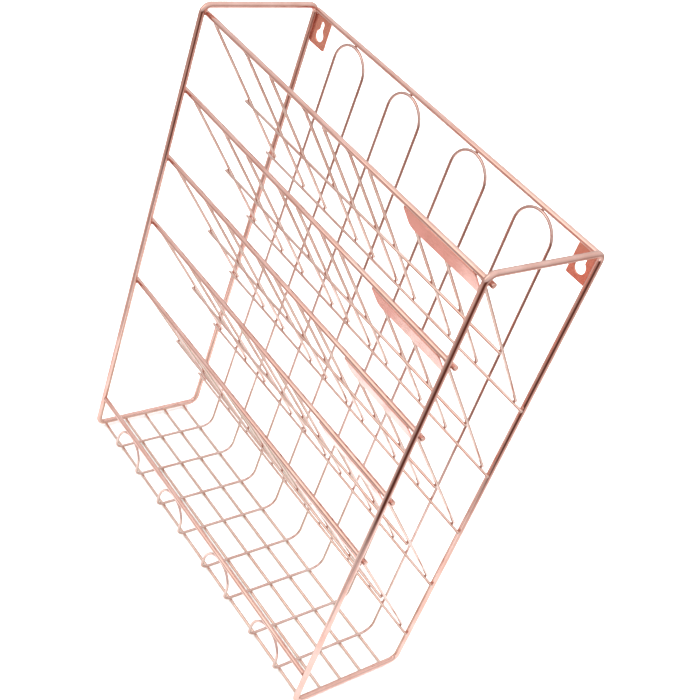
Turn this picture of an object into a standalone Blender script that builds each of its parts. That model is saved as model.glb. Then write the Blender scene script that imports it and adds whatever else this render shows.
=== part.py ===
"""Wall magazine rack of welded round wire, plated rose gold.

Two closed side frames carry everything. Each of the five sloping pocket floors has
five hairpins between a front rail and a back wire, a middle wire and a label plate.
Four long closed loops make the back, the bottom tray and its looped lip, and two
keyhole plates hang the rack on a wall. X runs along the rack, +Y points at the wall
and +Z is up. The rack stands on z = 0.
"""

import math

import bpy
from mathutils import Matrix, Vector

MM = 0.001

# Wire and sheet
FRAME_WIRE = 4.8 * MM
RAIL_WIRE = 4.2 * MM
GRID_WIRE = 2.4 * MM
WIRE_NOSE = 0.5 * MM
WELD_GAP = 0.3 * MM

# Side frames, measured between wire centres
FRAME_WIDTH = 330.0 * MM
FRAME_DEPTH = 105.5 * MM
FRAME_HEIGHT = 418.0 * MM
FRAME_BEND = 6.6 * MM

# Rails
BACK_RAIL_DROP = 2.8 * MM
RAIL_OVERHANG = 1.6 * MM
LIP_HEIGHT = 31.6 * MM

# Pocket floors
TIER_COUNT = 5
FIRST_STEP = 65.0 * MM
TIER_DROP = 129.0 * MM
LOWEST_TIER = 34.7 * MM
TOP_RUN_ANGLE = math.radians(37.5)
FLOOR_SIDE_GAP = 7.8 * MM
CENTRE_SPAN = 30.4 * MM
HAIRPIN_BEND = 4.0 * MM
HAIRPIN_TAIL = 1.2 * MM
MIDDLE_REACH = 86.0 * MM
MIDDLE_OVERHANG = 0.4 * MM

# Back loops and the tray they form
LOOP_SPAN = 36.5 * MM
LOOP_CENTRE_GAP = 4.8 * MM
LOOP_FLOOR_GAP = 13.4 * MM
LOOP_LEAN = 4.8 * MM
LOOP_BACK_BEND = 10.0 * MM
LOOP_LIP_BEND = 6.0 * MM
LIP_ARCH_SET = 1.0 * MM
TRAY_COUNT = 5
TRAY_FRONT_GAP = 9.0 * MM
TRAY_BACK_GAP = 12.4 * MM

# Label plates
LABEL_WIDTH = 74.2 * MM
LABEL_HEIGHT = 23.2 * MM
LABEL_SHEET = 1.0 * MM
LABEL_SIDE_GAP = 11.2 * MM
LABEL_TOP_CORNER = 2.0 * MM
LABEL_LOW_CORNER = 5.5 * MM

# Keyhole hanger plates
HANGER_WIDTH = 18.2 * MM
HANGER_HEIGHT = 24.5 * MM
HANGER_SHEET = 1.5 * MM
HANGER_CORNER = 1.2 * MM
KEYHOLE_BORE = 9.6 * MM
KEYHOLE_SLOT = 4.6 * MM
KEYHOLE_RISE = 9.2 * MM
KEYHOLE_LOW_EDGE = 4.4 * MM

# Radii, and the distance between the centres of two wires welded across each other
FRAME_R = FRAME_WIRE / 2
RAIL_R = RAIL_WIRE / 2
GRID_R = GRID_WIRE / 2
GRID_STACK = GRID_WIRE + WELD_GAP
RAIL_STACK = RAIL_R + GRID_R + WELD_GAP
FRAME_STACK = FRAME_R + GRID_R + WELD_GAP

# Side frames: the tray wires lie under their bottom runs and are the lowest pieces
HALF_WIDTH = FRAME_WIDTH / 2
INNER_X = HALF_WIDTH - FRAME_R - WELD_GAP
FRONT_Y = -FRAME_DEPTH / 2
BACK_Y = FRAME_DEPTH / 2
WALL_Y = BACK_Y + FRAME_R
TRAY_Z = GRID_R
RIB_Z = TRAY_Z + GRID_STACK
BASE_Z = TRAY_Z + FRAME_STACK
TOP_Z = BASE_Z + FRAME_HEIGHT

# Rails: the first one nests in the bend of the side frames
RAIL_Y = FRONT_Y + FRAME_R + RAIL_R + WELD_GAP
RAIL_END = HALF_WIDTH + FRAME_R + RAIL_OVERHANG
FIRST_RAIL_Z = TOP_Z - FRAME_BEND
SECOND_RAIL_Z = FIRST_RAIL_Z - FIRST_STEP
BACK_RAIL_Z = TOP_Z - BACK_RAIL_DROP
LIP_Z = BASE_Z + LIP_HEIGHT

# Back wires lie against the back uprights, and the loops lie against the back wires
BACK_WIRE_Y = BACK_Y - FRAME_STACK
LOOP_Y = BACK_WIRE_Y + GRID_STACK
TIER_PITCH = (SECOND_RAIL_Z - TIER_DROP - BASE_Z - LOWEST_TIER) / (TIER_COUNT - 2)

# Hairpins start in the middle of a loop, so that no leg meets a loop at a back wire
OUTER_LEG_X = HALF_WIDTH - FLOOR_SIDE_GAP
INNER_LOOP_X = CENTRE_SPAN / 2 + LOOP_CENTRE_GAP + LOOP_SPAN / 2
HAIRPIN_SPAN = (OUTER_LEG_X - INNER_LOOP_X - LOOP_FLOOR_GAP - LOOP_SPAN / 2) / 2
OUTER_LOOP_X = OUTER_LEG_X - HAIRPIN_SPAN

# Colours, linear values
ROSE_GOLD = (0.72, 0.34, 0.25)
PALE_ROSE = (0.80, 0.47, 0.38)
SALMON = (0.74, 0.32, 0.24)

SIDE = Vector((1.0, 0.0, 0.0))
BACK = Vector((0.0, 1.0, 0.0))
UP = Vector((0.0, 0.0, 1.0))


def clear_scene():
    """Empty the scene, so that a second run starts afresh."""
    for item in list(bpy.data.objects):
        bpy.data.objects.remove(item, do_unlink=True)


def plating(name, colour, roughness):
    """A plated metal finish."""
    finish = bpy.data.materials.new(name)
    finish.use_nodes = True
    shader = finish.node_tree.nodes["Principled BSDF"]
    shader.inputs["Base Color"].default_value = (*colour, 1.0)
    shader.inputs["Metallic"].default_value = 1.0
    shader.inputs["Roughness"].default_value = roughness
    return finish


def place(name, data, holder, location=(0.0, 0.0, 0.0), turn=0.0):
    """Put a piece, or an empty where data is None, on its holder, turned about X."""
    item = bpy.data.objects.new(name, data)
    item.parent = holder
    item.location = location
    item.rotation_euler = (turn, 0.0, 0.0)
    bpy.context.scene.collection.objects.link(item)
    return item


def wire(name, points, diameter, finish, sides=8, closed=False):
    """A round wire along a path; an open one has its ends broken by a small chamfer."""
    path = [Vector(point) for point in points]
    widths = [1.0] * len(path)
    if not closed:
        head = (path[1] - path[0]).normalized() * WIRE_NOSE
        tail = (path[-2] - path[-1]).normalized() * WIRE_NOSE
        nose = 1.0 - WIRE_NOSE / (diameter / 2)
        path = [path[0], path[0] + head] + path[1:-1] + [path[-1] + tail, path[-1]]
        widths = [nose, 1.0] + widths[1:-1] + [1.0, nose]
    curve = bpy.data.curves.new(name, "CURVE")
    curve.dimensions = "3D"
    curve.twist_mode = "MINIMUM"
    curve.bevel_depth = diameter / 2
    curve.bevel_resolution = sides // 2 - 2
    curve.use_fill_caps = not closed
    curve.materials.append(finish)
    spline = curve.splines.new("POLY")
    spline.points.add(len(path) - 1)
    for point, spot, width in zip(spline.points, path, widths):
        point.co = (*spot, 1.0)
        point.radius = width
    spline.use_cyclic_u = closed
    spline.use_smooth = True
    return curve


def cross_wire(name, half, diameter, finish, sides=8):
    """A straight wire along X, centred on its own origin."""
    return wire(name, [-SIDE * half, SIDE * half], diameter, finish, sides)


def sheet(name, outlines, thickness, finish):
    """A flat sheet from closed outlines in its own XY plane; inner outlines are holes."""
    curve = bpy.data.curves.new(name, "CURVE")
    curve.dimensions = "2D"
    curve.fill_mode = "BOTH"
    curve.extrude = thickness / 2
    curve.materials.append(finish)
    for outline in outlines:
        spline = curve.splines.new("POLY")
        spline.points.add(len(outline) - 1)
        for point, spot in zip(spline.points, outline):
            point.co = (spot[0], spot[1], 0.0, 1.0)
        spline.use_cyclic_u = True
    return curve


def arc(centre, first, second, turn, steps):
    """Points of an arc that starts at the radius vector first and turns towards second."""
    found = []
    for step in range(steps + 1):
        angle = turn * step / steps
        found.append(centre + first * math.cos(angle) + second * math.sin(angle))
    return found


def bent(corners, radius, steps, closed=False):
    """A path through corners, each bent to a radius that its shorter arm still allows."""
    found = []
    count = len(corners)
    for index, corner in enumerate(corners):
        if not closed and index in (0, count - 1):
            found.append(corner.copy())
            continue
        before = corners[index - 1] - corner
        after = corners[(index + 1) % count] - corner
        half = before.angle(after) / 2
        most = 0.49 * min(before.length, after.length)
        setback = min(radius / math.tan(half), most)
        bend = setback * math.tan(half)
        middle = (before.normalized() + after.normalized()).normalized()
        centre = corner + middle * (bend / math.sin(half))
        first = (corner + before.normalized() * setback - centre).normalized()
        last = (corner + after.normalized() * setback - centre).normalized()
        toward = (last - first * first.dot(last)).normalized()
        found += arc(centre, first * bend, toward * bend, first.angle(last), steps)
    return found


def round_outline(left, right, low, high, low_radius, high_radius, steps=5):
    """A rectangle with its two lower and two upper corners rounded."""
    most = 0.49 * min(right - left, high - low)
    low_radius = min(low_radius, most)
    high_radius = min(high_radius, most)
    found = []
    corners = (
        (right, low, -1, 1, low_radius, -90),
        (right, high, -1, -1, high_radius, 0),
        (left, high, 1, -1, high_radius, 90),
        (left, low, 1, 1, low_radius, 180),
    )
    for x, y, to_x, to_y, radius, start in corners:
        for step in range(steps + 1):
            angle = math.radians(start + 90.0 * step / steps)
            found.append(
                (
                    x + to_x * radius + radius * math.cos(angle),
                    y + to_y * radius + radius * math.sin(angle),
                )
            )
    return found


def keyhole_outline(x, bore_y, bore, slot, rise, steps=18):
    """A round bore with a narrower slot rising from it to a round end."""
    bore_r = bore / 2
    slot_r = min(slot, 0.9 * bore) / 2
    neck = math.asin(slot_r / bore_r)
    found = []
    for step in range(steps + 1):
        angle = math.pi / 2 + neck + (2 * math.pi - 2 * neck) * step / steps
        found.append((x + bore_r * math.cos(angle), bore_y + bore_r * math.sin(angle)))
    for step in range(9):
        angle = math.pi * step / 8
        found.append((x + slot_r * math.cos(angle), bore_y + rise + slot_r * math.sin(angle)))
    return found


def rail_z(tier):
    """Height of a front rail; the top one sits up in the bend, so its step is longer."""
    if tier == 0:
        return FIRST_RAIL_Z
    return SECOND_RAIL_Z - (tier - 1) * TIER_PITCH


def side_frames(rack, finish):
    """The closed bent loop of thick wire at each end of the rack."""
    corners = [
        BACK * FRONT_Y + UP * BASE_Z,
        BACK * FRONT_Y + UP * TOP_Z,
        BACK * BACK_Y + UP * TOP_Z,
        BACK * BACK_Y + UP * BASE_Z,
    ]
    loop = wire("side_frame", bent(corners, FRAME_BEND, 6, True), FRAME_WIRE, finish, 12, True)
    place("side_frame_left", loop, rack, (-HALF_WIDTH, 0.0, 0.0))
    place("side_frame_right", loop, rack, (HALF_WIDTH, 0.0, 0.0))


def rails(rack, finish):
    """Front rails behind the front uprights, and two rails butted between the side frames."""
    front = cross_wire("front_rail", RAIL_END, RAIL_WIRE, finish, 12)
    for tier in range(TIER_COUNT):
        place(f"front_rail_{tier + 1}", front, rack, (0.0, RAIL_Y, rail_z(tier)))
    butted = cross_wire("butted_rail", INNER_X, RAIL_WIRE, finish, 12)
    place("lip_rail", butted, rack, (0.0, FRONT_Y, LIP_Z))
    place("back_top_rail", butted, rack, (0.0, BACK_Y, BACK_RAIL_Z))


def floor_slope():
    """A floor's top run from its rail, its turn about X and its length to the back wire.

    The top run is welded under the rail. From there the floor is the tangent that
    passes over the back wire with the welding gap. In the floor's own axes X runs
    along the rack, Y up the slope and Z out to the front.
    """
    top = (BACK * math.sin(TOP_RUN_ANGLE) - UP * math.cos(TOP_RUN_ANGLE)) * RAIL_STACK
    reach = BACK * (BACK_WIRE_Y - RAIL_Y) - UP * TIER_DROP - top
    length = math.sqrt(reach.length_squared - GRID_STACK**2)
    lean = math.asin(GRID_STACK / reach.length)
    down = Matrix.Rotation(lean, 3, "X") @ reach
    return top, math.atan2(-down.z, -down.y), length


def hairpin(name, span, length, finish):
    """A wire bent to a narrow U, with its top run on X and its legs down the slope."""
    half = SIDE * (span / 2)
    drop = BACK * (length + HAIRPIN_TAIL)
    corners = [-half - drop, -half, half, half - drop]
    return wire(name, bent(corners, HAIRPIN_BEND, 3), GRID_WIRE, finish)


def label_plate(top, turn, finish):
    """A plate on the front of the hairpins, with its upper edge against the rail."""
    rail = Matrix.Rotation(-turn, 3, "X") @ -top
    lift = GRID_R + WELD_GAP - rail.z
    high = rail.y - math.sqrt(max((RAIL_R + WELD_GAP) ** 2 - lift**2, 0.0))
    right = HALF_WIDTH - LABEL_SIDE_GAP
    left = right - LABEL_WIDTH
    low = high - LABEL_HEIGHT
    outline = round_outline(left, right, low, high, LABEL_LOW_CORNER, LABEL_TOP_CORNER)
    return sheet("label_plate", [outline], LABEL_SHEET, finish)


def pocket_floors(rack, finish, label_finish):
    """Five floors alike, each built on an empty that lies on the slope under its rail."""
    top, turn, length = floor_slope()
    wide = hairpin("hairpin", HAIRPIN_SPAN, length, finish)
    narrow = hairpin("centre_hairpin", CENTRE_SPAN, length, finish)
    middle_half = OUTER_LEG_X + GRID_R + MIDDLE_OVERHANG
    middle = cross_wire("middle_wire", middle_half, GRID_WIRE, finish)
    back = cross_wire("back_wire", HALF_WIDTH + FRAME_R, GRID_WIRE, finish)
    label = label_plate(top, turn, label_finish)
    label_seat = GRID_R + WELD_GAP + LABEL_SHEET / 2
    near = INNER_LOOP_X + HAIRPIN_SPAN / 2
    far = OUTER_LOOP_X + HAIRPIN_SPAN / 2
    row = ((-far, wide), (-near, wide), (0.0, narrow), (near, wide), (far, wide))
    for tier in range(TIER_COUNT):
        under_rail = (0.0, RAIL_Y + top.y, rail_z(tier) + top.z)
        floor = place(f"floor_{tier + 1}", None, rack, under_rail, turn)
        for index, (x, shape) in enumerate(row):
            place(f"hairpin_{tier + 1}_{index + 1}", shape, floor, (x, 0.0, 0.0))
        place(f"middle_wire_{tier + 1}", middle, floor, (0.0, -MIDDLE_REACH, GRID_STACK))
        place(f"back_wire_{tier + 1}", back, floor, (0.0, -length, GRID_STACK))
        place(f"label_plate_{tier + 1}", label, floor, (0.0, 0.0, label_seat))


def back_loops(rack, finish):
    """Closed loops: an arch under the back rail, two legs, two ribs and an arch at the lip.

    The two outer loops lean: their back arches stand nearer the middle than their ribs.
    """
    half = LOOP_SPAN / 2
    rail_drop = math.sqrt(RAIL_STACK**2 - (BACK_Y - LOOP_Y) ** 2)
    back_arch = BACK * LOOP_Y + UP * (BACK_RAIL_Z - rail_drop - half)
    lip_drop = math.sqrt(RAIL_STACK**2 - LIP_ARCH_SET**2)
    lip_arch = BACK * (FRONT_Y + LIP_ARCH_SET) + UP * (LIP_Z - lip_drop - half)
    heel_r = LOOP_BACK_BEND
    toe_r = min(LOOP_LIP_BEND, 0.9 * (lip_arch.z - RIB_Z))
    heel = BACK * (LOOP_Y - heel_r) + UP * (RIB_Z + heel_r)
    toe = BACK * (lip_arch.y + toe_r) + UP * (RIB_Z + toe_r)
    left = -SIDE * half
    right = SIDE * half
    quarter = math.pi / 2
    path = arc(left + heel, BACK * heel_r, -UP * heel_r, quarter, 4)
    path += arc(left + toe, -UP * toe_r, -BACK * toe_r, quarter, 4)
    path += arc(lip_arch, left, UP * half, math.pi, 12)
    path += arc(right + toe, -BACK * toe_r, -UP * toe_r, quarter, 4)
    path += arc(right + heel, -UP * heel_r, BACK * heel_r, quarter, 4)
    row = (
        (-OUTER_LOOP_X, LOOP_LEAN),
        (-INNER_LOOP_X, 0.0),
        (INNER_LOOP_X, 0.0),
        (OUTER_LOOP_X, -LOOP_LEAN),
    )
    for index, (x, lean) in enumerate(row):
        name = f"back_loop_{index + 1}"
        head = arc(back_arch + SIDE * lean, right, UP * half, math.pi, 12)
        place(name, wire(name, head + path, GRID_WIRE, finish, 8, True), rack, (x, 0.0, 0.0))


def tray_wires(rack, finish):
    """Cross wires of the bottom tray, welded under the side frames and under the ribs."""
    across = cross_wire("tray_wire", HALF_WIDTH, GRID_WIRE, finish)
    first = FRONT_Y + TRAY_FRONT_GAP
    last = BACK_Y - TRAY_BACK_GAP
    for index in range(TRAY_COUNT):
        y = first + (last - first) * index / (TRAY_COUNT - 1)
        place(f"tray_wire_{index + 1}", across, rack, (0.0, y, TRAY_Z))


def hangers(rack, finish):
    """Keyhole plates in the upper back corners, flush with the wall side of the wire."""
    inner_y = FRAME_R - HANGER_SHEET
    beside = HALF_WIDTH - math.sqrt(max(FRAME_R**2 - inner_y**2, 0.0)) - WELD_GAP
    under = BACK_RAIL_Z - math.sqrt(max(RAIL_R**2 - inner_y**2, 0.0)) - WELD_GAP
    half = HANGER_WIDTH / 2
    outline = round_outline(-half, half, -HANGER_HEIGHT, 0.0, HANGER_CORNER, HANGER_CORNER, 3)
    bore_y = KEYHOLE_LOW_EDGE + KEYHOLE_BORE / 2 - HANGER_HEIGHT
    hole = keyhole_outline(0.0, bore_y, KEYHOLE_BORE, KEYHOLE_SLOT, KEYHOLE_RISE)
    plate = sheet("hanger_plate", [outline, hole], HANGER_SHEET, finish)
    x = beside - half
    y = WALL_Y - HANGER_SHEET / 2
    place("hanger_plate_left", plate, rack, (-x, y, under), math.pi / 2)
    place("hanger_plate_right", plate, rack, (x, y, under), math.pi / 2)


def main():
    clear_scene()
    frame_finish = plating("rose_gold_frame_wire", ROSE_GOLD, 0.14)
    grid_finish = plating("rose_gold_grid_wire", PALE_ROSE, 0.18)
    plate_finish = plating("rose_gold_sheet", SALMON, 0.24)
    rack = place("magazine_rack", None, None)
    side_frames(rack, frame_finish)
    rails(rack, frame_finish)
    pocket_floors(rack, grid_finish, plate_finish)
    back_loops(rack, grid_finish)
    tray_wires(rack, grid_finish)
    hangers(rack, plate_finish)


main()
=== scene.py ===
"""Looks of a wall magazine rack: bright rose gold plating on welded wire, on a white sweep."""

import math

import bpy
import numpy as np
from bpy.props import FloatProperty, FloatVectorProperty, IntProperty, PointerProperty
from mathutils import Matrix, Vector


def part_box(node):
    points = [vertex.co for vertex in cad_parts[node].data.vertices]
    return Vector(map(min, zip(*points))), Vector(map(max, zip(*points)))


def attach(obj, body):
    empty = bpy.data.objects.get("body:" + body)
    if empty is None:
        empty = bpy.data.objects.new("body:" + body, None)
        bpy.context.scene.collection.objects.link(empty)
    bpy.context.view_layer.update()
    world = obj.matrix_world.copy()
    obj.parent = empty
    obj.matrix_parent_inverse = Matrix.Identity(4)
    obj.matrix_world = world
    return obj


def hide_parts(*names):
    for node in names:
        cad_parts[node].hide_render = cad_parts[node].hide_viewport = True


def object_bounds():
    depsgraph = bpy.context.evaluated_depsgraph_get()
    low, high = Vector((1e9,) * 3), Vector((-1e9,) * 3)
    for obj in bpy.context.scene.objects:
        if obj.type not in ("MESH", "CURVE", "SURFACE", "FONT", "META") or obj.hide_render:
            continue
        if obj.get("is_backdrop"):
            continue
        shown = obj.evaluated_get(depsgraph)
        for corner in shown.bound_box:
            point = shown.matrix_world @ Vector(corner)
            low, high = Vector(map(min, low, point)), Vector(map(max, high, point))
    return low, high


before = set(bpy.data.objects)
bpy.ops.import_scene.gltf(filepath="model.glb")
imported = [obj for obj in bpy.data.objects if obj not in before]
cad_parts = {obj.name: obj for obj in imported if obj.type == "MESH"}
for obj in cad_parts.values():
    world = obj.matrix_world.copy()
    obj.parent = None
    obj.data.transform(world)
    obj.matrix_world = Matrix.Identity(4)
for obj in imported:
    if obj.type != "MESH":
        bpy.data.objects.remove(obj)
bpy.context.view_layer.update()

bl_info = {
    "name": "Rose Gold Magazine Rack",
    "version": (1, 0, 0),
    "blender": (4, 5, 0),
    "location": "View3D > Sidebar > Rack",
    "description": "Dresses a wire wall rack in bright rose gold plating and lights it on a white sweep",
    "category": "Object",
}

MM = 0.001
POCKETS = range(1, 6)
HAIRPINS = range(1, 6)
LOOPS = range(1, 5)
TO_RIGHT, TO_WALL, UP = np.eye(3)

# rings of the rounded end of a cut wire, and further facets round the thicker frame wire
NOSE_RINGS = 4
FRAME_MORE_SIDES = 4

# roughness of each finish, from the mirror-bright thick wire to the dull welds, and the lower metallic
# value of the keyhole plates
THICK_WIRE_ROUGH = 0.07
THIN_WIRE_ROUGH = 0.09
LABEL_ROUGH = 0.13
LOOP_WIRE_ROUGH = 0.2
HANGER_ROUGH = 0.2
WELD_ROUGH = 0.3
HANGER_METAL = 0.88

# what is left of red, green and blue where the plating is thin, and of a colour that is clouded or dimpled
THIN_PLATING = np.array([0.9, 0.81, 0.774])
CLOUDED_PLATING = 0.86
DIMPLED_PLATING = 0.62

# plates: upper corner of a label, rounding of the edges
LABEL_TOP_CORNER = 2 * MM
LABEL_EDGE = 0.3 * MM
HANGER_EDGE = 0.25 * MM

# beads: distance from a plate's corners, overlap with plate and wire, rounded end, facets
LABEL_BEAD_INSET = 3 * MM
HANGER_BEAD_INSET = 1.5 * MM
BEAD_OVERLAP = 0.25 * MM
BEAD_NOSE = 0.3 * MM
BEAD_SIDES = 12

# half width and half height of a nugget, as shares of a wire's radius: thin wire on any wire, a front
# rail on its upright, and the butt end of a rail against a side frame
THIN_NUGGET = (0.92, 0.75)
RAIL_NUGGET = (0.85, 0.7)
BUTT_NUGGET = (1.02, 0.35)

# how far inside a side frame's middle a tray wire is welded, as a share of the frame wire's radius
TRAY_INSET = 0.3

# the floor as the metal sees it, painted on a glowing card, in metres: middle of the painted lit patch,
# where the painted far floor dims, the way to the camera and how nearly a point must lie that way to be
# painted dark, and two discs: painted shadow behind at the left, and painted shade ahead
PATCH_MIDDLE = (0.06, 0.0, 0.0)
FAR_RANGE = (0.55, 1.05)
CAMERA_WAY = (0.82, -0.572, 0.0)
CAMERA_RANGE = (0.64, 0.98)
SIDE_MIDDLE = (-0.225, 0.13, 0.0)
SIDE_RANGE = (0.09, 0.11)
AHEAD_MIDDLE = (0.06, -0.45, 0.0)
AHEAD_RANGE = (0.31, 0.35)
AHEAD_DIMMED = 0.58

# stage: half widths of the sweep and of the glowing card with the painted floor reflection in metres,
# darker tooth of the paper, a faint warm tint of the room, the height where it is brightest (1 is
# overhead) and how wide the soft sky is
SWEEP_HALF = 14.0
CARD_HALF = 6.0
TOOTH_SHADE = 0.985
ROOM_TINT = (1.0, 0.975, 0.965)
CEILING_RISE = 0.85
SKY_ANGLE = math.radians(100)

# key softbox: place, the point it looks at, width and depth, in metres
KEY_PLACE = (-0.46, -1.27, 1.28)
KEY_TARGET = (0.07, -0.65, 0.7)
KEY_SIZE = (0.9, 1.4)


def linear(code):
    """A hex sRGB colour as linear values: below 0.04045 divide by 12.92, above it the 2.4 power."""
    srgb = np.array([int(code[i : i + 2], 16) for i in (1, 3, 5)]) / 255
    return tuple(np.where(srgb <= 0.04045, srgb / 12.92, ((srgb + 0.055) / 1.055) ** 2.4))


class RackSizes(bpy.types.PropertyGroup):
    """Wire, bends, sheet and welds; where the pieces lie comes from the frame."""

    frame_wire: FloatProperty(
        name="Frame wire", description="Diameter of the side frames' wire", default=4.8 * MM, unit="LENGTH"
    )
    rail_wire: FloatProperty(
        name="Rail wire", description="Diameter of the rails", default=4.2 * MM, unit="LENGTH"
    )
    grid_wire: FloatProperty(
        name="Grid wire", description="Diameter of the thin wire", default=2.4 * MM, unit="LENGTH"
    )
    weld_gap: FloatProperty(
        name="Weld gap", description="Gap that a weld bridges", default=0.3 * MM, unit="LENGTH"
    )
    wire_nose: FloatProperty(
        name="Wire nose", description="Rounding of a cut wire end", default=0.45 * MM, unit="LENGTH"
    )
    frame_bend: FloatProperty(
        name="Frame bend", description="Bend radius of the side frames", default=6.6 * MM, unit="LENGTH"
    )
    hairpin_bend: FloatProperty(
        name="Hairpin bend", description="Bend radius of the hairpins", default=4.0 * MM, unit="LENGTH"
    )
    hairpin_tail: FloatProperty(
        name="Hairpin tail", description="Leg past the back wire", default=1.2 * MM, unit="LENGTH"
    )
    heel_bend: FloatProperty(
        name="Heel bend", description="Bend of a loop at the wall", default=10.0 * MM, unit="LENGTH"
    )
    toe_bend: FloatProperty(
        name="Toe bend", description="Bend of a loop at the lip", default=6.0 * MM, unit="LENGTH"
    )
    loop_lean: FloatProperty(
        name="Loop lean", description="Inward lean of the outer loops", default=4.8 * MM, unit="LENGTH"
    )
    label_sheet: FloatProperty(
        name="Label sheet", description="Thickness of a label plate", default=1.0 * MM, unit="LENGTH"
    )
    label_corner: FloatProperty(
        name="Label corner", description="Lower corner radius of a label", default=5.5 * MM, unit="LENGTH"
    )
    hanger_corner: FloatProperty(
        name="Hanger corner", description="Corner radius of a keyhole plate", default=1.2 * MM, unit="LENGTH"
    )
    keyhole_bore: FloatProperty(
        name="Keyhole bore", description="Bore for the screw head", default=9.6 * MM, unit="LENGTH"
    )
    keyhole_slot: FloatProperty(
        name="Keyhole slot", description="Width of the slot for the shank", default=4.6 * MM, unit="LENGTH"
    )
    keyhole_rise: FloatProperty(
        name="Keyhole rise", description="Slot end above the bore", default=9.2 * MM, unit="LENGTH"
    )
    keyhole_low_edge: FloatProperty(
        name="Keyhole low edge", description="Sheet under the bore", default=4.4 * MM, unit="LENGTH"
    )
    sides: IntProperty(name="Wire sides", description="Facets round a wire", default=20, min=8, max=48)


class RackFinish(bpy.types.PropertyGroup):
    """Colours of the plating."""

    frame_tone: FloatVectorProperty(
        name="Frame", description="Thick wire", subtype="COLOR", default=linear("#EFC8BE")
    )
    grid_tone: FloatVectorProperty(
        name="Grid", description="Thin wire", subtype="COLOR", default=linear("#E9D0C7")
    )
    loop_tone: FloatVectorProperty(
        name="Loops", description="Back loops", subtype="COLOR", default=linear("#E8CCC5")
    )
    label_tone: FloatVectorProperty(
        name="Labels", description="Label plates", subtype="COLOR", default=linear("#FDBCAE")
    )
    hanger_tone: FloatVectorProperty(
        name="Keyhole plates", description="Keyhole plates", subtype="COLOR", default=linear("#F0A48F")
    )
    weld_tone: FloatVectorProperty(
        name="Welds", description="Weld nuggets", subtype="COLOR", default=linear("#D79C8C")
    )


class RackStage(bpy.types.PropertyGroup):
    """Sweep, mirrored floor, light and camera."""

    sweep_tone: FloatVectorProperty(
        name="Sweep", description="White paper", subtype="COLOR", default=linear("#FAFAFA")
    )
    room_light: FloatProperty(name="Room light", description="Strength at the horizon", default=0.66)
    ceiling_light: FloatProperty(name="Ceiling light", description="Strength overhead", default=1.06)
    key_light: FloatProperty(
        name="Key light", description="Power of the softbox in front", default=2.6, unit="POWER"
    )
    key_tone: FloatVectorProperty(
        name="Key", description="Warm white of the softbox", subtype="COLOR", default=linear("#FFF0DC")
    )
    sun_light: FloatProperty(name="Sky light", description="Strength of the soft sky", default=4.6)
    # patch_bright to far_tone: painted light and shade on the glowing card that only reflections see: a
    # painted lit patch, painted shade under the tray, a painted shadow behind at the left, painted dark
    # towards the camera and a painted dim room
    patch_bright: FloatProperty(name="Patch", description="Brightness of the lit patch", default=1.3)
    patch_radius: FloatProperty(
        name="Patch radius", description="Where the lit patch starts to fade", default=0.225, unit="LENGTH"
    )
    patch_fade: FloatProperty(
        name="Patch fade", description="Where the lit patch has faded", default=0.36, unit="LENGTH"
    )
    shade_blur: FloatProperty(
        name="Shade blur", description="Soft edge of the shade under the tray", default=0.03, unit="LENGTH"
    )
    shade_tone: FloatVectorProperty(
        name="Shade", description="Floor under the tray", subtype="COLOR", default=linear("#E4E8DE")
    )
    side_shadow_tone: FloatVectorProperty(
        name="Side", description="Floor behind at the left", subtype="COLOR", default=linear("#F3CCC6")
    )
    front_tone: FloatVectorProperty(
        name="Front", description="Floor towards the camera", subtype="COLOR", default=linear("#643B2F")
    )
    rear_tone: FloatVectorProperty(
        name="Rear", description="Floor on the other sides", subtype="COLOR", default=linear("#EEE0DB")
    )
    far_tone: FloatVectorProperty(
        name="Far", description="Floor a metre away", subtype="COLOR", default=linear("#C2B1AA")
    )
    camera_place: FloatVectorProperty(
        name="Camera place", description="Lens centre", subtype="XYZ", default=(0.53803, -0.57946, 0.78988)
    )
    camera_ahead: FloatVectorProperty(
        name="Camera view", description="Line of sight", subtype="XYZ", default=(-0.53181, 0.62027, -0.57658)
    )
    camera_right: FloatVectorProperty(
        name="Camera side", description="Picture's right", subtype="XYZ", default=(0.56904, 0.76597, 0.29915)
    )
    lens: FloatProperty(
        name="Lens", description="Focal length on a 36 mm sensor", default=64.52, unit="CAMERA"
    )


def edges(node):
    """Lowest and highest corner of a node's box, as arrays."""
    low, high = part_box(node)
    return np.array(low), np.array(high)


def middle(node):
    """Middle of a node's box."""
    low, high = edges(node)
    return (low + high) / 2


def unit(vectors):
    """Vectors divided by their lengths."""
    return vectors / np.linalg.norm(vectors, axis=-1, keepdims=True)


def rounded_path(corners, radius, steps, closed=False):
    """Straight runs joined by circular bends.

    At a corner with half angle h the bend starts radius / tan(h) away on both arms, and its
    centre lies radius / sin(h) along the bisector; the arc turns from one start to the other.
    """
    corners = np.asarray(corners, float)
    count = len(corners)
    runs = []
    for index in range(count):
        corner = corners[index]
        if not closed and index in (0, count - 1):
            runs.append(corner[None])
            continue
        before = unit(corners[index - 1] - corner)
        after = unit(corners[(index + 1) % count] - corner)
        half = math.acos(float(before @ after)) / 2
        centre = corner + unit(before + after) * (radius / math.sin(half))
        first = unit(corner + before * (radius / math.tan(half)) - centre)
        last = unit(corner + after * (radius / math.tan(half)) - centre)
        toward = unit(last - first * (first @ last))
        angle = np.linspace(0, math.acos(float(first @ last)), steps + 1)[:, None]
        runs.append(centre + radius * (first * np.cos(angle) + toward * np.sin(angle)))
    return np.concatenate(runs)


def grid_faces(rows, columns, wrap_rows):
    """Quads of a grid of points that closes round its columns, and round its rows if asked."""
    span = rows if wrap_rows else rows - 1
    i, j = np.meshgrid(np.arange(span), np.arange(columns), indexing="ij")
    up, over = (i + 1) % rows, (j + 1) % columns
    quads = np.stack([i * columns + j, i * columns + over, up * columns + over, up * columns + j], -1)
    return quads.reshape(-1, 4)


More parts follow.
